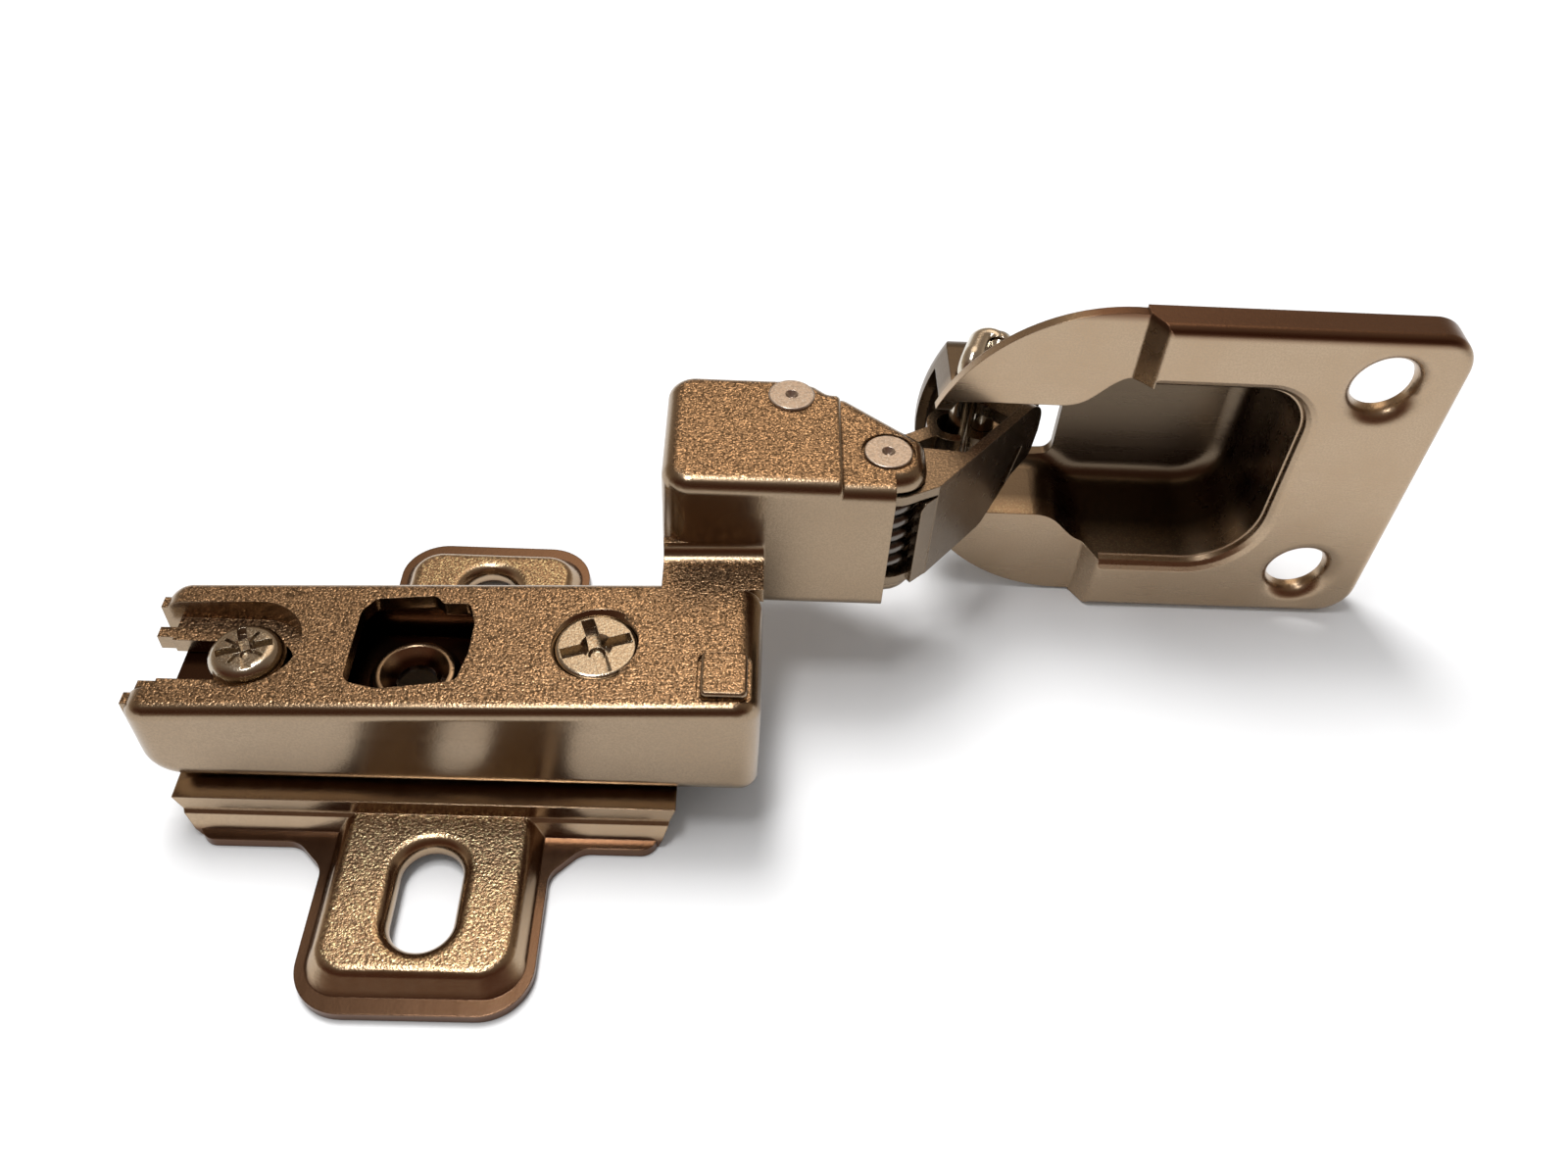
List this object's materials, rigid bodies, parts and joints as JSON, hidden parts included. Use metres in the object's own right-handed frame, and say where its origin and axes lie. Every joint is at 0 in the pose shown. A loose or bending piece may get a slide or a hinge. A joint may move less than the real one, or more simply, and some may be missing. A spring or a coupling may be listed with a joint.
{
  "type": "concealed cup hinge",
  "caption": "Concealed cabinet door hinge, open: screw-on mounting plate, adjustable cranked arm, two links and a drawn cup with flange.",
  "frame": {"origin": "middle of the mounting plate, on the surface it is screwed to", "axes": "+X along the arm towards the cup, +Z away from the surface the plate is screwed to, pivots parallel to Z, +Y towards the side of the door"},
  "size_m": [0.1129, 0.0588, 0.0349],
  "materials": {
    "plate": "nickel plated steel sheet, slightly satin",
    "screw": "nickel plated steel, turned and polished",
    "arm": "nickel plated steel sheet, satin",
    "rivet": "pale nickel plated steel",
    "link": "nickel plated steel sheet",
    "spring": "dark spring steel wire",
    "cup": "nickel plated drawn steel sheet, satin",
    "wire": "bright nickel plated steel wire"
  },
  "bodies": {
    "plate": {"mounting_plate": "plate"},
    "clamp": {"clamp_screw": "screw"},
    "arm": {"hinge_arm": "arm", "inner_rivet": "rivet", "outer_rivet": "rivet", "torsion_spring": "spring"},
    "adjuster": {"adjusting_screw": "screw"},
    "outer": {"outer_link": "link"},
    "inner": {"inner_link": "link"},
    "cup": {"cup": "cup", "cup_u_pin": "wire"}
  },
  "joints": [
    {"name": "clamp_turn", "type": "hinge", "parent": "plate", "child": "clamp", "pos_m": [-0.0162, 0, 0.0103], "axis": [0, 0, 1], "continuous": true},
    {"name": "depth_slide", "type": "slide", "parent": "plate", "child": "arm", "axis": [1, 0, 0], "range_m": [-0.001, 0.003]},
    {"name": "adjuster_turn", "type": "hinge", "parent": "arm", "child": "adjuster", "pos_m": [0.0131, 0, 0.015], "axis": [0, 0, 1], "continuous": true},
    {"name": "outer_link_turn", "type": "hinge", "parent": "arm", "child": "outer", "pos_m": [0.03745, 0.0161, 0.01728], "axis": [0, 0, 1], "range_deg": [0, 10.3]},
    {"name": "inner_link_turn", "type": "hinge", "parent": "arm", "child": "inner", "pos_m": [0.02895, 0.0226, 0.01728], "axis": [0, 0, 1], "range_deg": [0, 27.3]},
    {"name": "cup_close", "type": "hinge", "parent": "outer", "child": "cup", "pos_m": [0.048, 0.02849, 0.01745], "axis": [0, 0, 1], "range_deg": [-102.1, 0]}
  ],
  "couplings": [
    {"joint": "outer_link_turn", "follows": "cup_close", "ratio": -0.098923},
    {"joint": "inner_link_turn", "follows": "cup_close", "ratio": -0.26445}
  ]
}
